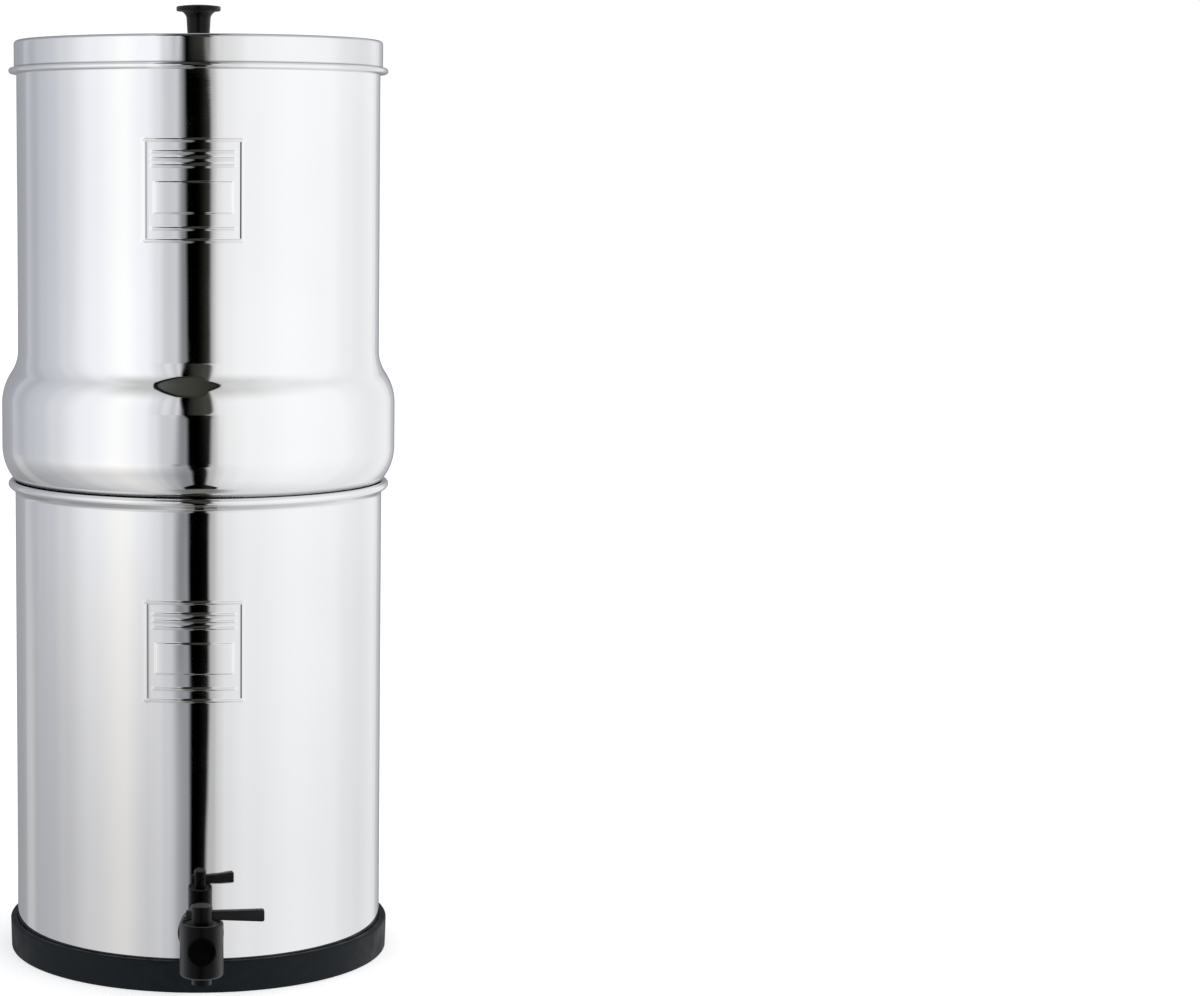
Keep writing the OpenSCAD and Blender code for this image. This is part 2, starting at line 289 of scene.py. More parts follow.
def badge_columns(radius, turn):
    edges = [(ACROSS, 1.5), (23.0, 0.8), (21.5, 0.85)]
    u = np.array(ladder([(s * e, h) for e, h in edges for s in (-1, 1)], 33.0, 2.4))
    front = -math.pi / 2 - math.radians(turn) + u / radius
    rest = np.linspace(front[-1], front[0] + 2 * math.pi, 196)[1:-1]
    return np.concatenate([front, rest])


def badge_rows(radius, centre):
    edges = [(UPWARD, 1.2), (-UPWARD, 1.2), (4.7, 0.6), (-12.3, 0.6)]
    edges += [(h, 1.15) for h in RIBS]
    return [(radius, centre + v) for v in ladder(edges, 33.0, 4.0)]


def chamber_shift(radius, badge_z, turn, z0, z1, seed):
    """The badge on the outer face, and the very slight unevenness of a spun and polished wall between z0 and z1."""

    def shift(r, z, angles):
        out = np.zeros(len(angles))
        if abs(r - radius) < 0.05 and abs(z - badge_z) < 33.5:
            front = angles + math.pi / 2 + math.radians(turn)
            u = ((front + math.pi) % (2 * math.pi) - math.pi) * radius
            out += relief(u, np.full(len(angles), z - badge_z))
        if z0 < z < z1 and r > radius - 1.2:
            w = min(1.0, (z - z0) / 18, (z1 - z) / 18)
            out += (
                0.030
                * w
                * (
                    np.sin(3 * angles + 2.2 * math.sin(z / 61.0 + seed))
                    + 0.55 * np.sin(7 * angles + 1.7 * math.sin(z / 37.0 + 2 * seed))
                    - 1.6
                )
            )
        return out

    return shift


# ---------------------------------------------------------------- materials
def new_material(name):
    m = bpy.data.materials.new(name)
    m.use_nodes = True
    nt = m.node_tree
    nt.nodes.clear()
    out = nt.nodes.new("ShaderNodeOutputMaterial")
    p = nt.nodes.new("ShaderNodeBsdfPrincipled")
    nt.links.new(p.outputs["BSDF"], out.inputs["Surface"])
    return m, nt, p


def coords(nt, scale=(1, 1, 1)):
    tc = nt.nodes.new("ShaderNodeTexCoord")
    mp = nt.nodes.new("ShaderNodeMapping")
    mp.inputs["Scale"].default_value = scale
    nt.links.new(tc.outputs["Object"], mp.inputs["Vector"])
    return mp.outputs["Vector"]


def noise(nt, vector, scale, detail=3.0, rough=0.5, distort=0.0):
    n = nt.nodes.new("ShaderNodeTexNoise")
    n.inputs["Scale"].default_value = scale
    n.inputs["Detail"].default_value = detail
    n.inputs["Roughness"].default_value = rough
    n.inputs["Distortion"].default_value = distort
    nt.links.new(vector, n.inputs["Vector"])
    return n.outputs["Fac"]


def spread(nt, value, lo, hi, to_lo, to_hi, kind="SMOOTHSTEP"):
    m = nt.nodes.new("ShaderNodeMapRange")
    m.interpolation_type = kind
    m.inputs["From Min"].default_value = lo
    m.inputs["From Max"].default_value = hi
    m.inputs["To Min"].default_value = to_lo
    m.inputs["To Max"].default_value = to_hi
    nt.links.new(value, m.inputs["Value"])
    return m.outputs["Result"]


def calc(nt, op, a, b=None, c=None):
    m = nt.nodes.new("ShaderNodeMath")
    m.operation = op
    for i, x in enumerate((a, b, c)):
        if x is None:
            continue
        if isinstance(x, (int, float)):
            m.inputs[i].default_value = x
        else:
            nt.links.new(x, m.inputs[i])
    return m.outputs[0]


def two_colours(nt, fac, a, b):
    m = nt.nodes.new("ShaderNodeMix")
    m.data_type = "RGBA"
    m.inputs["A"].default_value = (*a, 1)
    m.inputs["B"].default_value = (*b, 1)
    nt.links.new(fac, m.inputs["Factor"])
    return m.outputs["Result"]


def ramp(nt, value, stops, kind="EASE"):
    r = nt.nodes.new("ShaderNodeValToRGB")
    cr = r.color_ramp
    cr.interpolation = kind
    while len(cr.elements) > 1:
        cr.elements.remove(cr.elements[-1])
    for i, (x, c) in enumerate(stops):
        e = cr.elements[0] if i == 0 else cr.elements.new(x)
        e.position = x
        e.color = (*c, 1)
    nt.links.new(value, r.inputs["Fac"])
    return r.outputs["Color"]


def curve(nt, value, lo, hi, points, to_lo, to_hi, kind="LINEAR"):
    """A number read from a list of (position, number) pairs."""
    at = spread(nt, value, lo, hi, 0.0, 1.0, "LINEAR")
    table = []
    for a, b in points:
        grey = (b - to_lo) / (to_hi - to_lo)
        table.append(((a - lo) / (hi - lo), (grey, grey, grey)))
    out = ramp(nt, at, table, kind)
    return calc(nt, "MULTIPLY_ADD", out, to_hi - to_lo, to_lo)


def bump(nt, p, height, distance, strength=1.0, under=None):
    b = nt.nodes.new("ShaderNodeBump")
    b.inputs["Distance"].default_value = distance
    b.inputs["Strength"].default_value = strength
    nt.links.new(height, b.inputs["Height"])
    if under is not None:
        nt.links.new(under, b.inputs["Normal"])
    nt.links.new(b.outputs["Normal"], p.inputs["Normal"])
    return b.outputs["Normal"]


def polished_steel(name, offset, base=(0.80, 0.802, 0.806), painted_crease_light=(), shade=None, fade=(54, 390), top=None):
    """Mirror-polished stainless sheet: faint smudges, hairline polishing marks round the axis and a trace of
    unevenness. Each crease is a circle (radius, height, reach in mm) with a factor for the shade painted at it, which
    paints a highlight where it is above 1, one for the left and one for the right. shade lists (degrees round the axis
    from the front, factor) of painted shade and highlight, full below the first height of fade and gone above the
    second; top is a factor for a flat top face inside 101 mm, which then takes no shade.
    """
    m, nt, p = new_material(name)
    p.inputs["Metallic"].default_value = 1.0
    v = coords(nt)
    mp = nt.nodes.new("ShaderNodeMapping")
    mp.inputs["Location"].default_value = (offset, offset * 0.7, offset * 0.3)
    nt.links.new(v, mp.inputs["Vector"])
    v = mp.outputs["Vector"]
    smudge = noise(nt, v, 22.0, 5.0, 0.62, 0.4)
    cloud = noise(nt, v, 7.0, 2.0, 0.5)
    hair_v = coords(nt, (18, 18, 2600))
    hair = noise(nt, hair_v, 1.0, 4.0, 0.7)
    rough = calc(
        nt,
        "ADD",
        spread(nt, smudge, 0.42, 0.74, 0.022, 0.075),
        calc(nt, "MULTIPLY", hair, 0.022),
    )
    nt.links.new(rough, p.inputs["Roughness"])
    colour = two_colours(
        nt,
        spread(nt, cloud, 0.3, 0.7, 0.0, 1.0),
        base,
        tuple(c * 0.965 for c in base),
    )
    sep = nt.nodes.new("ShaderNodeSeparateXYZ")
    nt.links.new(coords(nt), sep.inputs[0])
    x, y, z = sep.outputs
    radius = calc(
        nt, "SQRT", calc(nt, "MULTIPLY_ADD", x, x, calc(nt, "MULTIPLY", y, y))
    )
    turn = calc(nt, "ARCTAN2", x, calc(nt, "MULTIPLY", y, -1))
    dim = None
    # painted shade at each crease, one factor on the left and another on the right; a factor above 1 paints a highlight
    for at_r, at_z, reach, factor, other in painted_crease_light:
        dr = calc(nt, "SUBTRACT", radius, at_r * MM)
        dz = calc(nt, "SUBTRACT", z, at_z * MM)
        far = calc(
            nt, "SQRT", calc(nt, "MULTIPLY_ADD", dr, dr, calc(nt, "MULTIPLY", dz, dz))
        )
        near = spread(nt, far, reach * MM * 0.3, reach * MM, 1.0, 0.0)
        change = spread(nt, turn, 0.02, 0.3, factor - 1.0, other - 1.0)
        line = calc(nt, "MULTIPLY_ADD", near, change, 1.0)
        dim = line if dim is None else calc(nt, "MULTIPLY", dim, line)
    # painted shade and highlight by degrees round the axis, fading out with height
    if shade:
        foot = curve(nt, calc(nt, "MULTIPLY", turn, 180 / math.pi), -90, 90, shade, 0, 1)
        depth = spread(nt, z, fade[0] * MM, fade[1] * MM, 1.0, 0.0)
        if top:
            edge = spread(nt, radius, 102.4 * MM, 104.4 * MM, 0.0, 1.0)
            depth = calc(nt, "MULTIPLY", depth, edge)
        line = calc(
            nt,
            "SUBTRACT",
            1.0,
            calc(nt, "MULTIPLY", depth, calc(nt, "SUBTRACT", 1.0, foot)),
        )
        dim = line if dim is None else calc(nt, "MULTIPLY", dim, line)
    if top:
        line = spread(nt, radius, 101.5 * MM, 103.4 * MM, top, 1.0)
        dim = line if dim is None else calc(nt, "MULTIPLY", dim, line)
    if dim is not None:
        scaled = nt.nodes.new("ShaderNodeVectorMath")
        scaled.operation = "SCALE"
        nt.links.new(colour, scaled.inputs[0])
        nt.links.new(dim, scaled.inputs["Scale"])
        colour = scaled.outputs[0]
    nt.links.new(colour, p.inputs["Base Color"])
    first = bump(nt, p, noise(nt, v, 14.0, 1.0, 0.4), 0.0011, 0.10)
    bump(nt, p, hair, 0.00002, 0.10, first)
    return m


def black_plastic(name, colour, rough_lo, rough_hi, level, grain=900.0, depth=0.00004, strength=0.35, painted_sheen=None):
    """Moulded black plastic or rubber with a fine grain and slightly uneven sheen. Its last argument is a greyer
    colour, a painted sheen where the surface turns away.
    """
    m, nt, p = new_material(name)
    p.inputs["Specular IOR Level"].default_value = level
    v = coords(nt)
    wear = noise(nt, v, 90.0, 4.0, 0.6)
    fine = noise(nt, v, grain, 3.0, 0.6)
    nt.links.new(
        spread(nt, wear, 0.3, 0.72, rough_lo, rough_hi), p.inputs["Roughness"]
    )
    tone = two_colours(
        nt,
        spread(nt, wear, 0.35, 0.75, 0.0, 1.0),
        colour,
        tuple(c * 1.7 + 0.001 for c in colour),
    )
    # painted sheen: a greyer colour where the surface turns away from the eye
    if painted_sheen:
        away = nt.nodes.new("ShaderNodeLayerWeight")
        away.inputs["Blend"].default_value = 0.5
        both = nt.nodes.new("ShaderNodeMix")
        both.data_type = "RGBA"
        nt.links.new(
            spread(nt, away.outputs["Facing"], 0.1, 0.62, 0.0, 1.0),
            both.inputs["Factor"],
        )
        nt.links.new(tone, both.inputs["A"])
        both.inputs["B"].default_value = (*painted_sheen, 1)
        tone = both.outputs["Result"]
    nt.links.new(tone, p.inputs["Base Color"])
    bump(nt, p, fine, depth, strength)
    return m


def pale_moulding(name, a, b, rough_lo, rough_hi, scale, detail_scale, depth, strength):
    m, nt, p = new_material(name)
    v = coords(nt)
    cloud = noise(nt, v, scale, 4.0, 0.55)
    fine = noise(nt, v, detail_scale, 5.0, 0.65)
    nt.links.new(
        two_colours(nt, spread(nt, cloud, 0.3, 0.75, 0.0, 1.0), a, b),
        p.inputs["Base Color"],
    )
    nt.links.new(
        spread(nt, fine, 0.3, 0.7, rough_lo, rough_hi), p.inputs["Roughness"]
    )
    bump(nt, p, fine, depth, strength)
    return m, nt, p


# painted shade toward the lower wall's foot, by degrees round the axis from the front
FOOT_SHADE = [
    (-90, 0.93),
    (-67, 0.93),
    (-57, 0.82),
    (-46, 0.75),
    (-37, 0.71),
    (-22, 0.71),
    (-16, 0.66),
    (-12.5, 0.84),
    (-9.5, 1.0),
    (-6, 0.97),
    (4, 0.95),
    (8, 0.91),
    (17, 0.87),
    (31, 0.90),
    (57, 0.88),
    (75, 0.88),
    (90, 0.93),
]
# painted shade in the joint on top of the rim bead, darker on the left than on the right, and a painted highlight just
# under the bead
STEEL_LOWER = polished_steel(
    "polished_steel_lower", 0.31, painted_crease_light=[(106.9, 275.4, 1.8, 0.3, 0.9), (106.7, 270.8, 1.7, 1.18, 1.18)], shade=FOOT_SHADE
)
# painted shade on the bulge's underside where it sits in the rim bead
STEEL_UPPER = polished_steel(
    "polished_steel_upper", 1.7, painted_crease_light=[(106.3, 275.2, 4.4, 0.74, 0.82)]
)
# painted shade and highlights on the lid's band, the same way round
LID_BAND_LIGHT = [
    (-90, 1.0),
    (-36, 1.0),
    (-27, 0.97),
    (-24, 1.0),
    (-19, 1.03),
    (-16, 1.06),
    (-14.2, 1.2),
    (-12.2, 1.26),
    (-10.5, 1.0),
    (-6, 0.9),
    (3, 0.9),
    (6.5, 0.86),
    (9, 0.87),
    (11.7, 0.9),
    (14.2, 0.97),
    (22, 0.977),
    (42, 0.96),
    (46.6, 0.9),
    (64, 0.88),
    (72, 0.95),
    (90, 1.0),
]
# painted shade in the crease over the lid's bead and along its top corner
STEEL_LID = polished_steel(
    "polished_steel_lid",
    2.9,
    painted_crease_light=[(105.9, 511.5, 1.6, 0.33, 0.33), (105.3, 526.6, 1.1, 0.66, 0.66)],
    shade=LID_BAND_LIGHT,
    fade=(600, 700),
    top=0.86,
)
RUBBER = black_plastic(
    "black_rubber", (0.0042, 0.0066, 0.0086), 0.44, 0.62, 0.12, 1400.0, 0.00005, 0.5
)
# painted sheen on the tap's sides
TAP_BLACK = black_plastic(
    "tap_plastic", (0.0008, 0.0009, 0.001), 0.27, 0.4, 0.08, painted_sheen=(0.058, 0.058, 0.062)
)
CAP_BLACK = black_plastic("tap_cap_plastic", (0.0002, 0.0002, 0.0003), 0.36, 0.46, 0.03)
LEVER_BLACK = black_plastic("lever_plastic", (0.0055, 0.0058, 0.0064), 0.36, 0.5, 0.18)
# painted sheen on the knob's sides
KNOB_BLACK = black_plastic(
    "knob_plastic", (0.0012, 0.0012, 0.0014), 0.22, 0.35, 0.16, painted_sheen=(0.03, 0.03, 0.033)
)
SEAL_BLACK = black_plastic("seal_rubber", (0.008, 0.008, 0.008), 0.5, 0.65, 0.3)
CERAMIC, _, _ = pale_moulding(
    "ceramic", (0.83, 0.80, 0.72), (0.74, 0.71, 0.63), 0.78, 0.95, 38.0, 900.0, 0.00018, 0.6
)
CARBON, _, _ = pale_moulding(
    "carbon", (0.012, 0.012, 0.012), (0.03, 0.03, 0.03), 0.6, 0.95, 300.0, 1100.0, 0.0005, 1.0
)
WHITE_PLASTIC, _, _ = pale_moulding(
    "white_plastic", (0.82, 0.83, 0.84), (0.78, 0.79, 0.81), 0.3, 0.44, 60.0, 700.0, 0.00003, 0.3
)
SILICONE, _, _sil = pale_moulding(
    "clear_silicone", (0.62, 0.68, 0.72), (0.70, 0.74, 0.77), 0.25, 0.4, 120.0, 500.0, 0.00003, 0.3
)
SCREW_STEEL = polished_steel("screw_steel", 4.4, (0.62, 0.62, 0.62))


def dress(o, material, slot, body, *nodes):
    o.data.materials.clear()
    o.data.materials.append(material)
    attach(o, body)
    if nodes:
        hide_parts(*nodes)
    return o


# ---------------------------------------------------------------- base ring
ring = [(91.7, 0)] + rounded(
    [(91.7, 0), (110.0, 0), (110.5, 17.8), (107.2, 17.8), (106.4, 17.0), (106.4, 10)],
    [0, 1.0, 1.2, 0.5, 0.4, 0],
    7,
)
ring += arc(100.3, 10, 6.1, -2, -86, 18)
ring += [(100.3, 3.9), (91.8, 3.9)] + arc(91.7, 3.5, 0.4, 90, 180, 4) + arc(91.7, 0.4, 0.4, 180, 270, 4)
base_ring = turned(
    "base_ring_visual",
    ring,
    close=True,
    angles=np.linspace(0, 2 * math.pi, 240, endpoint=False),
)
dress(base_ring, RUBBER, "black_rubber", "lower", "base_ring")


# ---------------------------------------------------------------- lower chamber
def lower_outline():
    out = [(0, 9.0)]
    out += fillet((0, 9.0), (87.3, 9.0), (92.3, 4.0), 2.5, 8)
    out += fillet((87.3, 9.0), (92.3, 4.0), (100.3, 4.0), 2.0, 8)
    out += arc(100.3, 10, 6, -90, 0, 26)
    out += [(LOWER_R, 60)]
    out += badge_rows(LOWER_R, LOWER_BADGE_Z)
    out += [(LOWER_R, 250)]
    out += fillet((LOWER_R, 250), (LOWER_R, 268.7), (108.65, 270.82), 3.0, 14)
    out += [(108.62, 270.80)]
    out += arc(RIM_R, RIM_Z, BEAD_R, -71.8, 180, 72)
    out += [(LOWER_R - WALL, 250)]
    out += arc(100.3, 10, 5.2, 0, -90, 22)
    out += fillet((100.3, 4.8), (92.63, 4.8), (87.63, 9.8), 2.0, 8)
    out += fillet((92.63, 4.8), (87.63, 9.8), (0, 9.8), 2.5, 8)
    return out + [(0, 9.8)]


lower_chamber = turned(
    "lower_chamber_visual",
    lower_outline(),
    angles=badge_columns(LOWER_R, LOWER_TURN),
    shift=chamber_shift(LOWER_R, LOWER_BADGE_Z, LOWER_TURN, 24, 262, 0.6),
    step=12.0,
)
facing = Matrix.Translation((0, -0.112, TAP_Z * MM)) @ Matrix.Rotation(
    math.radians(-90), 4, "X"
)
pin_v, pin_f = straight_pin(8.1, 14.0, facing)
cut(lower_chamber, finish_mesh(mesh_from("cutter", pin_v, pin_f)))
finish_mesh(lower_chamber)
dress(
    lower_chamber, STEEL_LOWER, "polished_steel_lower", "lower", "lower_chamber"
)


# ---------------------------------------------------------------- upper chamber
SH_A = 34.0
SH_SUM = 9.3 / (1 - math.cos(math.radians(SH_A)))
SH_OUT = SH_SUM * 0.58
SH_IN = SH_SUM - SH_OUT
UND_R, FIL_R = 30.0, 4.0
UND_X = BULGE_R - UND_R
UND_Z = RIM_Z + math.sqrt((UND_R + BEAD_R + 0.3) ** 2 - (RIM_R - UND_X) ** 2)
FIL_A = math.degrees(math.acos((UPPER_R + FIL_R - UND_X) / (UND_R + FIL_R)))
FIL_Z = UND_Z - (UND_R + FIL_R) * math.sin(math.radians(FIL_A))
BAND_Z = UND_Z + 24.8
NECK_Z = BAND_Z + SH_SUM * math.sin(math.radians(SH_A))


def upper_path(d, fine=1.0):
    """The upper chamber's outline d inside its outer face, from the bottom's middle up to the foot of the straight wall."""

    def k(n):
        return max(4, round(n * fine))

    return (
        [(0, UPPER_BOT + d)]
        + arc(UPPER_R - 8, UPPER_BOT + 8, 8 - d, -90, 0, k(24))
        + arc(UPPER_R + FIL_R, FIL_Z, FIL_R + d, 180, 180 - FIL_A, k(14))
        + arc(UND_X, UND_Z, UND_R - d, -FIL_A, 0, k(26))
        + arc(BULGE_R - SH_OUT, BAND_Z, SH_OUT - d, 0, SH_A, k(22))
        + arc(UPPER_R + SH_IN, NECK_Z, SH_IN + d, 180 + SH_A, 180, k(22))
    )


def upper_outline():
    out = upper_path(0)
    out += badge_rows(UPPER_R, UPPER_BADGE_Z)
    out += [(UPPER_R, 500)]
    out += arc(UPPER_R - 1.3, UPPER_TOP - 1.3, 1.3, 0, 292.6, 26)
    out += list(reversed(upper_path(WALL, 0.6)))
    return out


upper_chamber = turned(
    "upper_chamber_visual",
    upper_outline(),
    angles=badge_columns(UPPER_R, UPPER_TURN),
    shift=chamber_shift(UPPER_R, UPPER_BADGE_Z, UPPER_TURN, 358, 516, 1.9),
    step=12.0,
)
STEMS = [math.radians(45 + 90 * i) for i in range(4)]
cutters = []
for a in STEMS:
    at = Matrix.Translation(
        (
            CANDLE_AT * MM * math.cos(a),
            CANDLE_AT * MM * math.sin(a),
            (UPPER_BOT - 2) * MM,
        )
    )
    cutters.append(straight_pin(6.4, 5.0, at, 48))
cut_v, cut_f = together(*cutters)
cut(upper_chamber, finish_mesh(mesh_from("cutter", cut_v, cut_f)))
finish_mesh(upper_chamber)
dress(
    upper_chamber, STEEL_UPPER, "polished_steel_upper", "upper", "upper_chamber"
)


# ---------------------------------------------------------------- lid
def lid_dish(r):
    """The lid's top is spun slightly hollow between the knob and the corner."""
    return -0.28 * float(smooth((r - 12) / 40.0) * (1 - smooth((r - 66) / 34.0)))


lid_top_face = [(r, LID_TOP + lid_dish(r)) for r in np.linspace(103.6, 2.6, 64).tolist()]
lid_under = [(r, z - WALL) for r, z in reversed(lid_top_face)]
lid_loop = lid_under
lid_loop += arc(LID_R - 2.2, LID_TOP - 2.2, 1.4, 90, 0, 14)
lid_loop += [(LID_R - WALL, LID_BEAD_Z)]
lid_loop += arc(LID_BEAD_R, LID_BEAD_Z, LID_BEAD, 180, 496.2, 72)
lid_loop += arc(LID_R - 2.2, LID_TOP - 2.2, 2.2, 0, 90, 20)
lid_loop += lid_top_face
lid = turned(
    "lid_visual",
    lid_loop,
    close=True,
    angles=np.linspace(0, 2 * math.pi, 256, endpoint=False),
    step=6.0,
)
dress(lid, STEEL_LID, "polished_steel_lid", "lid_top", "lid")

# ---------------------------------------------------------------- knob
knob_line = rounded(
    [(0, 536.9), (2.05, 536.9), (2.05, 527.3), (6.2, 527.3), (6.9, 539.7)],
    [0, 0, 0, 0.35, 0],
    4,
)
knob_line += arc(11.7, 539.7, 4.8, 180, 116, 22)
knob_line += rounded(
    [(9.6, 544.02), (10.6, 544.3), (12.7, 544.3), (12.7, 547.0), (11.9, 547.12)],
    [0, 0.5, 0.8, 0.75, 0],
    7,
)
DOME = (12.7**2 + 1.0**2) / 2.0
for i in range(1, 19):
    a = math.asin(11.9 / DOME) * (1 - i / 18)
    knob_line.append((DOME * math.sin(a), 548.0 - DOME + DOME * math.cos(a)))
knob = turned(
    "lid_knob_visual", knob_line, angles=np.linspace(0, 2 * math.pi, 96, endpoint=False)
)
dress(knob, KNOB_BLACK, "knob_plastic", "lid_top", "lid_knob")


# ---------------------------------------------------------------- tap lever
def lever_mesh():
    """The flat lever: it deepens toward its rounded tip and runs through the hub."""
    z0 = 53.8
    outline = [(-8.45, -2.2)]
    outline += [(-8.45, 2.25), (5.95, 2.28), (20, 2.63)]
    outline += [(33.2, 2.95), (33.95, 2.3), (33.95, -2.7), (33.2, -3.35)]
    outline += [(20, -2.85), (5.95, -2.28)]
    bm = bmesh.new()
    front = [bm.verts.new((x * MM, (TAP_Y - 2.5) * MM, (z0 + z) * MM)) for x, z in outline]
    back = [bm.verts.new((x * MM, (TAP_Y + 2.5) * MM, (z0 + z) * MM)) for x, z in outline]
    bm.faces.new(front)
    bm.faces.new(list(reversed(back)))
    n = len(outline)
    for i in range(n):
        j = (i + 1) % n
        bm.faces.new((front[i], front[j], back[j], back[i]))
    bmesh.ops.recalc_face_normals(bm, faces=bm.faces)
    bmesh.ops.bevel(
        bm,
        geom=[e for e in bm.edges if e.calc_face_angle(0) > math.radians(20)],
        offset=0.55 * MM,
        segments=4,
        profile=0.5,
        affect="EDGES",
    )
    me = bpy.data.meshes.new("tap_lever_visual")
    bm.to_mesh(me)
    bm.free()
    o = bpy.data.objects.new("tap_lever_visual", me)
    scene.collection.objects.link(o)
    return finish_mesh(o, 35)


dress(lever_mesh(), LEVER_BLACK, "lever_plastic", "tap_valve", "tap_lever")


# ---------------------------------------------------------------- candles
def at_stem(a, turn=0.0):
    return Matrix.Translation(
        (CANDLE_AT * MM * math.cos(a), CANDLE_AT * MM * math.sin(a), 0)
    ) @ Matrix.Rotation(a + turn, 4, "Z")


def ceramic_shift(r, z, angles):
    if r < 20:
        return np.zeros(len(angles))
    return -0.05 + 0.04 * np.sin(2 * angles + z / 19) + 0.02 * np.sin(5 * angles - z / 7)


TOP = SHELL_Z + CANDLE_H

def candle_shell_arrays():
    """A closed thimble: outside up to the dome, then the inside from the dome's hollow back down to the open foot."""
    outer = [(17.0, SHELL_Z), (24.7, SHELL_Z), (25.0, SHELL_Z + 0.3)] + arc(
        11, TOP - 14, 14, 0, 90, 20
    ) + [(0, TOP)]
    inner = [(0, TOP - 8)] + arc(11, TOP - 14, 6, 90, 0, 12) + [(17.0, SHELL_Z)]
    angles = np.linspace(0, 2 * math.pi, 64, endpoint=False)
    return together(
        turned_arrays(outer, angles=angles, shift=ceramic_shift),
        turned_arrays(inner, angles=angles),
    )


def weld(o, gap=0.000002):
    bm = bmesh.new()
    bm.from_mesh(o.data)
    bmesh.ops.remove_doubles(bm, verts=bm.verts, dist=gap)
    bm.to_mesh(o.data)
    bm.free()
    return o


shells_v, shells_f = together(*[place(candle_shell_arrays(), at_stem(a)) for a in STEMS])
shells = weld(mesh_from("candle_shells_visual", shells_v, shells_f))
finish_mesh(shells)
dress(shells, CERAMIC, "ceramic", "upper", "candle_shells")


def thread_shift(r, z, angles):
    """A single-start thread, 1.6 mm pitch, on the stem below the chamber's bottom."""
    if not (5.9 < r < 6.1 and STEM_BOT + 1.0 < z < 249.0):
        return np.zeros(len(angles))
    phase = (z / 1.6 - angles / (2 * math.pi)) % 1.0
    return -0.62 * np.abs(2 * phase - 1)


stem_rows = [(6.0, z) for z in np.arange(STEM_BOT + 0.8, 249.2, 0.2).tolist()]
mount_loop = (
    [(1.9, STEM_BOT), (5.2, STEM_BOT)]
    + stem_rows
    + [(6.0, MOUNT_Z)]
    + rounded(
        [(6.0, MOUNT_Z), (23.0, MOUNT_Z), (26.6, MOUNT_Z + 3), (26.6, SHELL_Z + 6)],
        [0, 1.2, 1.2, 0],
        6,
    )
    + arc(25.8, SHELL_Z + 6, 0.75, 0, 160, 8)
    + [(25.05, SHELL_Z), (1.9, SHELL_Z)]
)
mount = turned_arrays(
    mount_loop,
    close=True,
    angles=np.linspace(0, 2 * math.pi, 40, endpoint=False),
    shift=thread_shift,
)
mounts_v, mounts_f = together(*[place(mount, at_stem(a)) for a in STEMS])
mounts = finish_mesh(mesh_from("candle_mounts_visual", mounts_v, mounts_f), 50)
dress(mounts, WHITE_PLASTIC, "white_plastic", "upper", "candle_mounts")

washer = turned_arrays(
    [(6.05, PLATE_Z + 0.3), (6.35, PLATE_Z)]
    + arc(13.3, PLATE_Z + 0.7, 0.7, -90, 0, 5)
    + arc(13.3, MOUNT_Z - 0.7, 0.7, 0, 90, 5)
    + [(6.35, MOUNT_Z), (6.05, MOUNT_Z - 0.3)],
    close=True,
    angles=np.linspace(0, 2 * math.pi, 56, endpoint=False),
)
washers_v, washers_f = together(*[place(washer, at_stem(a)) for a in STEMS])
washers = finish_mesh(mesh_from("candle_washers_visual", washers_v, washers_f))
dress(washers, SILICONE, "clear_silicone", "upper", "candle_washers")


def wing_nut():
    """A moulded nut with two rounded wings; it hangs from Z = 0 down to -14."""
    hub = turned_arrays(
        [(6.04, -9), (8.0, -9)]
        + arc(8.0, -8.4, 0.6, -90, -10, 4)
        + [(9.85, -0.9)]
        + arc(9.4, -0.6, 0.6, 0, 90, 4)
        + [(6.04, 0)],
        close=True,
        angles=np.linspace(0, 2 * math.pi, 48, endpoint=False),
    )
    o = finish_mesh(mesh_from("wing_hub", *hub))
    wing = [(7.2, -0.4), (12.0, -1.6)]
    wing += arc(16, -8.5, 5.5, 78, -90, 12)
    wing += [(11.5, -12.0), (7.2, -8.6)]
    for s in (0, 1):
        bm = bmesh.new()
        rows = []
        for y, k in ((-1.5, 0), (1.5, 0)):
            rows.append([bm.verts.new((x * MM, y * MM, z * MM)) for x, z in wing])
        n = len(wing)
        bm.faces.new(rows[0])
        bm.faces.new(list(reversed(rows[1])))
        for i in range(n):
            j = (i + 1) % n
            bm.faces.new((rows[0][i], rows[0][j], rows[1][j], rows[1][i]))
        bmesh.ops.recalc_face_normals(bm, faces=bm.faces)
        rims = [
            e
            for e in bm.edges
            if abs(e.verts[0].co.y - e.verts[1].co.y) < 1e-7
        ]
        bmesh.ops.bevel(
            bm, geom=rims, offset=0.6 * MM, segments=3, profile=0.5, affect="EDGES"
        )
        bmesh.ops.rotate(
            bm,
            verts=bm.verts,
            cent=(0, 0, 0),
            matrix=Matrix.Rotation(math.pi * s, 3, "Z"),
        )
        me = bpy.data.meshes.new("wing")
        bm.to_mesh(me)
        bm.free()
        w = bpy.data.objects.new("wing", me)
        scene.collection.objects.link(w)
        m = o.modifiers.new("join", "BOOLEAN")
        m.operation = "UNION"
        m.solver = "EXACT"
        m.object = w
        bpy.context.view_layer.update()
        bake_modifiers(o)
        bpy.data.objects.remove(w)
    me = o.data
    v = [tuple(x.co) for x in me.vertices]
    f = [tuple(x.vertices) for x in me.polygons]
    bpy.data.objects.remove(o)
    return v, f


nut = wing_nut()
down = Matrix.Translation((0, 0, UPPER_BOT * MM))
nuts_v, nuts_f = together(
    *[place(nut, down @ at_stem(a, math.radians(30))) for a in STEMS]
)
nuts = finish_mesh(mesh_from("candle_wing_nuts_visual", nuts_v, nuts_f), 38)
dress(nuts, WHITE_PLASTIC, "white_plastic", "upper", "candle_wing_nuts")

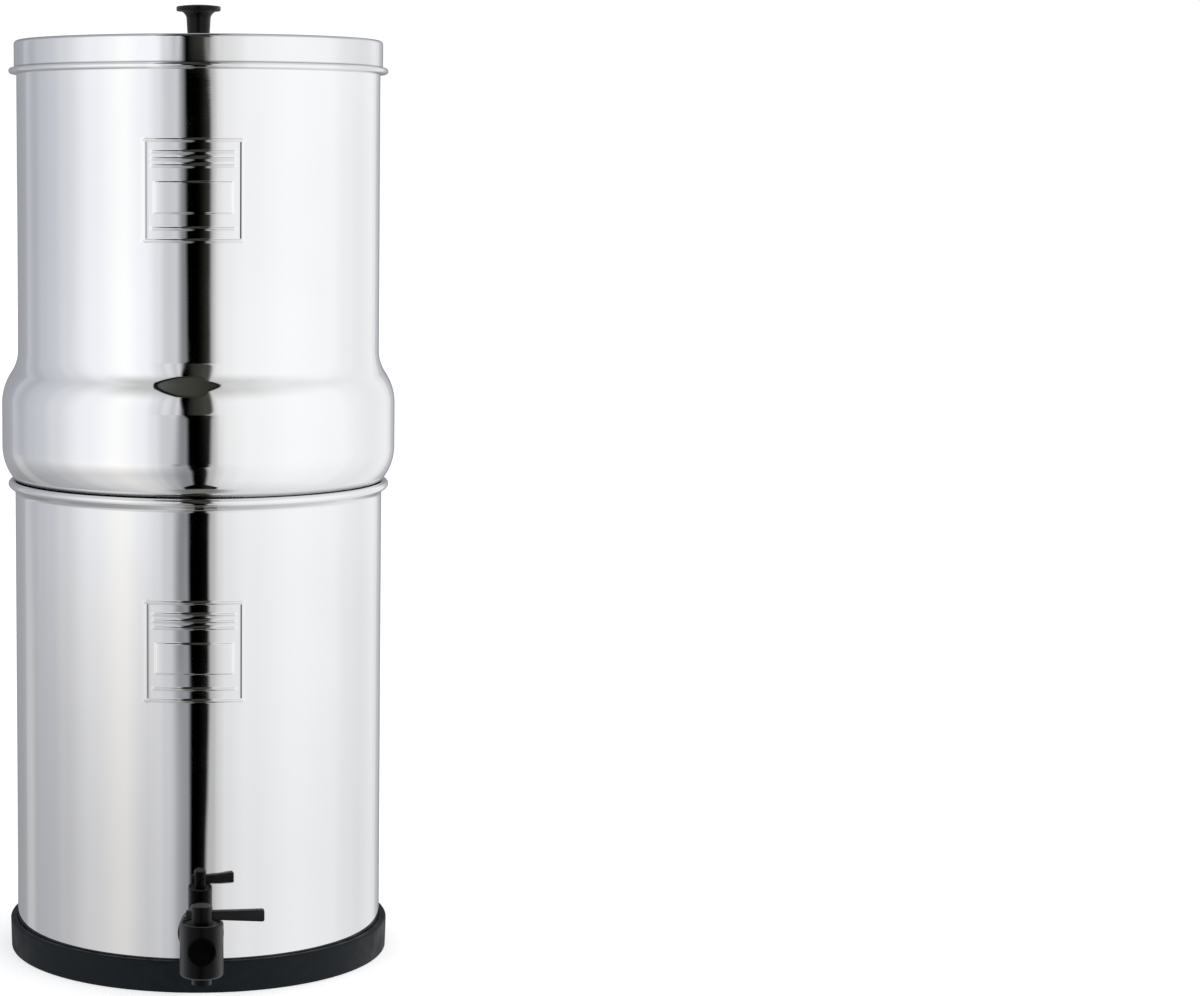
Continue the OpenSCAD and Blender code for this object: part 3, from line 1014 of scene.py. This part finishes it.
# ---------------------------------------------------------------- CAD nodes that stay as they are
KEPT = {
    "tap_body": TAP_BLACK,
    "tap_front_cap": CAP_BLACK,
    "tap_outer_washer": SEAL_BLACK,
    "tap_inner_washer": SEAL_BLACK,
    "tap_back_nut": TAP_BLACK,
    "tap_retaining_ring": TAP_BLACK,
    "tap_plug": TAP_BLACK,
    "tap_plug_seals": SEAL_BLACK,
    "candle_cores": CARBON,
    "lid_knob_screw": SCREW_STEEL,
    "lid_knob_washer": SCREW_STEEL,
}
for node, material in KEPT.items():
    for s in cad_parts[node].material_slots:
        s.material = material


# ---------------------------------------------------------------- floor
def make_floor():
    o = mesh_from(
        "studio_floor",
        [
            (60 * math.cos(a), 60 * math.sin(a), 0.0)
            for a in np.linspace(0, 2 * math.pi, 128, endpoint=False)
        ],
        [tuple(range(128))],
    )
    m, nt, p = new_material("studio_floor")
    p.inputs["Base Color"].default_value = (0.86, 0.86, 0.86, 1)
    p.inputs["Roughness"].default_value = 0.9
    p.inputs["Specular IOR Level"].default_value = 0.0
    p.inputs["Emission Color"].default_value = (1, 1, 1, 1)
    p.inputs["Emission Strength"].default_value = 0.55
    o.data.materials.append(m)
    o.visible_glossy = False
    return o


make_floor()


# ---------------------------------------------------------------- studio light: soft boxes left and right, a dark gap between them
def mix(nt, fac, a, b, kind="MIX"):
    m = nt.nodes.new("ShaderNodeMix")
    m.data_type = "RGBA"
    m.blend_type = kind
    m.clamp_result = False
    for name, x in (("Factor", fac), ("A", a), ("B", b)):
        s = next(i for i in m.inputs if i.name == name and i.enabled)
        if isinstance(x, (int, float)):
            s.default_value = x
        elif isinstance(x, tuple):
            s.default_value = (*x, 1)
        else:
            nt.links.new(x, s)
    return next(i for i in m.outputs if i.enabled)


def make_world():
    w = bpy.data.worlds.new("studio")
    scene.world = w
    w.use_nodes = True
    nt = w.node_tree
    nt.nodes.clear()
    out = nt.nodes.new("ShaderNodeOutputWorld")
    tc = nt.nodes.new("ShaderNodeTexCoord")
    sep = nt.nodes.new("ShaderNodeSeparateXYZ")
    nt.links.new(tc.outputs["Generated"], sep.inputs[0])
    x, y, z = sep.outputs
    deg = 180 / math.pi
    az = calc(nt, "MULTIPLY", calc(nt, "ARCTAN2", x, calc(nt, "MULTIPLY", y, -1)), deg)
    el = calc(nt, "MULTIPLY", calc(nt, "ARCSINE", z), deg)
    # the studio's heights, drawn out a little toward the table
    el = calc(
        nt,
        "ADD",
        el,
        curve(
            nt,
            el,
            -90,
            90,
            [(-90, 0.6), (-24, 0.7), (-16, 1.34), (-12.7, 1.1), (-9.2, 0.83), (-6.6, 0.63), (-3.8, 0.41), (0, 0.1), (1.6, -0.04), (3.5, 0.0), (9, 0.42), (60, 0.42), (88, 0.0)],
            -2,
            2,
        ),
    )
    u = calc(nt, "MULTIPLY_ADD", az, 1 / 360, 0.5)

    def stops(table):
        return [(a / 360 + 0.5, (v * t[0], v * t[1], v * t[2])) for a, v, t in table]

    cool, cold, plain = (0.97, 0.985, 1.03), (0.95, 0.98, 1.06), (1, 1, 1)
    far_left = [
        (-180, 0.30, cold),
        (-152, 0.42, cold),
        (-143, 0.47, cold),
        (-137, 0.62, cold),
        (-127, 0.55, cold),
        (-116, 0.66, cold),
        (-105, 0.72, cold),
        (-93, 0.84, cool),
        (-70, 1.11, cool),
        (-48, 1.24, plain),
        (-34, 1.13, cool),
        (-26, 0.95, cool),
        (-20.5, 0.75, cool),
    ]
    far_right = [
        (30, 1.13, plain),
        (60, 1.20, plain),
        (90, 1.17, plain),
        (106, 1.08, plain),
        (121, 1.03, plain),
        (140, 1.06, plain),
        (148, 0.94, plain),
        (155, 0.64, cool),
        (168, 0.36, cool),
        (180, 0.30, cold),
    ]
    # level with the eye, the left soft box ends in a sharper step than it does lower down
    level = ramp(
        nt,
        u,
        stops(
            far_left
            + [
                (-18, 0.73, cool),
                (-14.5, 0.765, cool),
                (-12.6, 0.54, cool),
                (-11, 0.34, cool),
                (-9.4, 0.25, cool),
                (-7.6, 0.30, cool),
                (8, 0.58, plain),
                (12, 0.94, plain),
                (16, 1.05, plain),
            ]
            + far_right
        ),
    )
    low_left = [(a, v, t) for a, v, t in far_left if not -140 < a < -120]
    low = ramp(
        nt,
        u,
        stops(
            low_left[:3]
            + [(-137, 0.66, cool), (-131, 0.71, cool), (-124, 0.60, cool)]
            + low_left[3:]
            + [
                (-18, 0.71, cool),
                (-15.5, 0.62, cool),
                (-13.6, 0.50, cool),
                (-11.7, 0.42, cool),
                (-8, 0.37, cool),
                (8, 0.62, plain),
                (12, 0.85, plain),
                (16, 1.0, plain),
            ]
            + far_right
        ),
    )
    ceiling = ramp(
        nt,
        u,
        stops(
            [
                (-180, 0.55, cool),
                (-130, 0.66, cool),
                (-96, 0.78, cool),
                (-72, 0.88, plain),
                (-48, 0.66, plain),
                (-20, 0.60, plain),
                (12, 0.66, plain),
                (34, 0.80, plain),
                (70, 0.98, plain),
                (115, 0.92, plain),
                (150, 0.66, cool),
                (180, 0.55, cool),
            ]
        ),
    )
    colour = mix(nt, spread(nt, el, -12, -2.5, 1, 0), level, low)
    # the table warms the left side a little and cools the right
    warm = calc(nt, "MULTIPLY", spread(nt, el, -9, -4, 1, 0), spread(nt, az, -30, -8, 1, 0))
    colour = mix(nt, warm, colour, (1.015, 1.0, 0.975), "MULTIPLY")
    colour = mix(nt, spread(nt, az, 10, 30, 0, 1), colour, (0.997, 1.0, 1.014), "MULTIPLY")
    # the left soft box's edge is wider at the height the joint looks at
    shoulder = calc(
        nt,
        "MULTIPLY",
        spread(nt, calc(nt, "ABSOLUTE", calc(nt, "ADD", az, 13.1)), 0.4, 4.6, 1, 0),
        curve(
            nt,
            el,
            -90,
            90,
            [(-11, 0.0), (-10, 0.3), (-9, 0.8), (-8, 1.0), (-6.5, 1.0), (-5.2, 0.4), (-4, 0.0)],
            0,
            1,
        ),
    )
    colour = mix(nt, shoulder, colour, (0.66, 0.66, 0.66), "MULTIPLY")
    # over the lid's edge the boxes end sharper, and a dim strip stands beside the gap
    lid_high = spread(nt, el, 1.84, 1.94, 0, 1)
    lid_tone = calc(
        nt,
        "MULTIPLY_ADD",
        lid_high,
        curve(
            nt,
            az,
            -180,
            180,
            [(-34, 0.0), (-25.5, -0.04), (-23.8, -0.08), (-22.6, 0.0), (-21.2, 0.16), (-19.2, 0.22), (-18, 0.14), (-16.8, 0.03), (-15.6, -0.12), (-14.4, -0.05), (-13.2, 0.25), (-12, 0.7), (-10.6, 0.3), (-9.5, -0.15), (-8.5, 0.0), (-7, 0.0), (2, -0.5), (6.2, -0.5), (7.0, 0.0), (7.8, 0.25), (9, 0.25), (11, 0.08), (14, 0.0)],
            -1,
            1,
        ),
        1.0,
    )
    toned = nt.nodes.new("ShaderNodeVectorMath")
    toned.operation = "SCALE"
    nt.links.new(colour, toned.inputs[0])
    nt.links.new(lid_tone, toned.inputs["Scale"])
    colour = toned.outputs[0]
    # the table dims the reflections downward, sooner on the left
    down_left = curve(
        nt,
        el,
        -90,
        90,
        [(-90, 0.45), (-70, 0.58), (-57, 0.67), (-43, 0.745), (-29, 0.725), (-17, 0.88), (-14.9, 0.925), (-13.8, 0.955), (-12, 0.985), (-8.6, 1.03), (-6.4, 1.02), (-4.6, 1.0)],
        0,
        1,
    )
    down_right = curve(
        nt,
        el,
        -90,
        90,
        [(-90, 0.50), (-72, 0.60), (-65, 0.70), (-50, 0.84), (-40, 0.92), (-25, 0.95), (-5, 1.0)],
        0,
        1,
    )
    side = calc(
        nt,
        "MULTIPLY",
        spread(nt, az, -18, 12, 0, 1),
        spread(nt, az, 130, 179, 1, 0),
    )
    down = calc(
        nt,
        "MULTIPLY_ADD",
        side,
        calc(nt, "SUBTRACT", down_right, down_left),
        down_left,
    )
    shaded = nt.nodes.new("ShaderNodeVectorMath")
    shaded.operation = "SCALE"
    nt.links.new(colour, shaded.inputs[0])
    nt.links.new(down, shaded.inputs["Scale"])
    colour = shaded.outputs[0]
    colour = mix(nt, spread(nt, el, 26, 54, 0, 1), colour, ceiling)
    colour = mix(nt, spread(nt, el, 72, 88, 0, 1), colour, (0.62, 0.62, 0.62))
    # under the front, a dim patch of table
    haze = calc(
        nt,
        "MULTIPLY",
        spread(nt, calc(nt, "ABSOLUTE", calc(nt, "SUBTRACT", az, 1.0)), 10, 42, 1, 0),
        spread(nt, el, -64, -60, 1, 0),
    )
    colour = mix(nt, haze, colour, (0.21, 0.205, 0.19))
    # the dark gap between the soft boxes: its two edges by height
    left = curve(
        nt,
        el,
        -90,
        90,
        [(-57, -13.0), (-50.5, -4.4), (-22, -4.5), (-13, -6.0), (-9, -6.2), (-7, -6.9), (-6, -6.9), (-5, -6.9), (-3.5, -7.4), (-1, -8.3), (1.5, -9.3), (3, -9.6), (12, -9.8), (34, -12.4)],
        -20,
        20,
    )
    right = curve(
        nt,
        el,
        -90,
        90,
        [(-57, 16.0), (-50.5, 5.0), (-22, 4.9), (-14, 4.2), (-13.2, 3.6), (-12.6, 3.9), (-11.9, 4.15), (-11.2, 5.0), (-9.5, 6.0), (-7.6, 5.9), (-6.8, 5.4), (-5.4, 6.3), (-3.8, 7.1), (0, 7.1), (1.84, 6.6), (1.94, 2.9), (2.7, 2.6), (3.1, 4.5), (5, 6.4), (9, 7.6), (34, 7.6)],
        -20,
        20,
    )
    inside_left = spread(nt, calc(nt, "SUBTRACT", az, left), -1.5, 1.4, 0, 1)
    inside_right = spread(nt, calc(nt, "SUBTRACT", az, right), -1.5, 1.5, 1, 0)
    gap = calc(nt, "MULTIPLY", inside_left, inside_right)
    gap = calc(nt, "MULTIPLY", gap, spread(nt, el, -63, -60.5, 0, 1))
    # a little light comes into the gap from its right
    glow = calc(
        nt,
        "MULTIPLY",
        curve(
            nt,
            az,
            -180,
            180,
            [(-1, 0.0), (1, 0.004), (3, 0.014), (5, 0.032), (7, 0.05), (9, 0.05), (20, 0.0)],
            0,
            1,
        ),
        curve(
            nt,
            el,
            -90,
            90,
            [(-50, 0.4), (-13, 0.9), (-9, 0.3), (-6, 0.15), (-5, 0.5), (-3, 1.0)],
            0,
            1,
        ),
    )
    glow = calc(
        nt,
        "MULTIPLY_ADD",
        lid_high,
        curve(nt, az, -180, 180, [(-7.5, 0.0), (-5.5, 0.02), (-3, 0.035), (3, 0.05), (9, 0.0)], 0, 1),
        glow,
    )
    inner = nt.nodes.new("ShaderNodeVectorMath")
    inner.operation = "SCALE"
    inner.inputs[0].default_value = (1.0, 0.99, 0.86)
    nt.links.new(glow, inner.inputs["Scale"])
    colour = mix(nt, gap, colour, inner.outputs[0])
    # an unlit leaf-shaped patch of ceiling over the gap
    brink = curve(
        nt,
        az,
        -180,
        180,
        [(-52, 80), (-43, 60.5), (-35, 53), (-27, 46.5), (-15, 38), (0, 37.5), (4, 42), (6.5, 50), (14, 56), (20, 61), (28, 80)],
        0,
        90,
    )
    over = calc(nt, "SUBTRACT", el, brink)
    rim = spread(
        nt, calc(nt, "ABSOLUTE", calc(nt, "SUBTRACT", over, 1.8)), 1.2, 3.6, 1.0, 0.0
    )
    rim = calc(
        nt,
        "MULTIPLY",
        rim,
        curve(nt, az, -180, 180, [(-18, 0.97), (-10, 0.5), (0, 0.25), (9, 0.5), (13, 1.0)], 0, 1),
    )
    leaf = ramp(
        nt,
        u,
        [
            (-45 / 360 + 0.5, (0.10, 0.115, 0.115)),
            (-32 / 360 + 0.5, (0.095, 0.105, 0.10)),
            (-18 / 360 + 0.5, (0.066, 0.068, 0.058)),
            (-4 / 360 + 0.5, (0.052, 0.053, 0.043)),
            (8 / 360 + 0.5, (0.036, 0.037, 0.03)),
        ],
        "LINEAR",
    )
    patch = mix(nt, rim, leaf, (0.003, 0.003, 0.003))
    colour = mix(nt, spread(nt, over, -1.2, 0.8, 0, 1), colour, patch)
    path = nt.nodes.new("ShaderNodeLightPath")
    colour = mix(nt, path.outputs["Is Camera Ray"], colour, (1.06, 1.06, 1.06))
    bg = nt.nodes.new("ShaderNodeBackground")
    nt.links.new(colour, bg.inputs["Color"])
    bg.inputs["Strength"].default_value = 1.0
    nt.links.new(bg.outputs[0], out.inputs["Surface"])


make_world()
scene.view_settings.view_transform = "Standard"
scene.view_settings.look = "None"


# ---------------------------------------------------------------- camera
def make_camera():
    cam = bpy.data.cameras.new("camera")
    cam.sensor_fit = "HORIZONTAL"
    cam.sensor_width = 36.0
    cam.lens = 2925.4 * 36 / 1200
    cam.shift_x, cam.shift_y = 0.29501, -0.03137
    cam.clip_start, cam.clip_end = 0.05, 300
    o = bpy.data.objects.new("camera", cam)
    scene.collection.objects.link(o)
    side, away, height = math.radians(0.63), 1.6935, 0.4569
    heading = side + math.radians(0.933)
    pitch, roll = math.radians(5.771), math.radians(0.092)
    forward = Vector(
        (
            math.cos(pitch) * math.sin(heading),
            math.cos(pitch) * math.cos(heading),
            -math.sin(pitch),
        )
    )
    right = Vector((math.cos(heading), -math.sin(heading), 0))
    up = right.cross(forward)
    r = right * math.cos(roll) + up * math.sin(roll)
    upward = up * math.cos(roll) - right * math.sin(roll)
    m = Matrix((r, upward, -forward)).transposed().to_4x4()
    m.translation = (-away * math.sin(side), -away * math.cos(side), height)
    o.matrix_world = m
    scene.camera = o


make_camera()
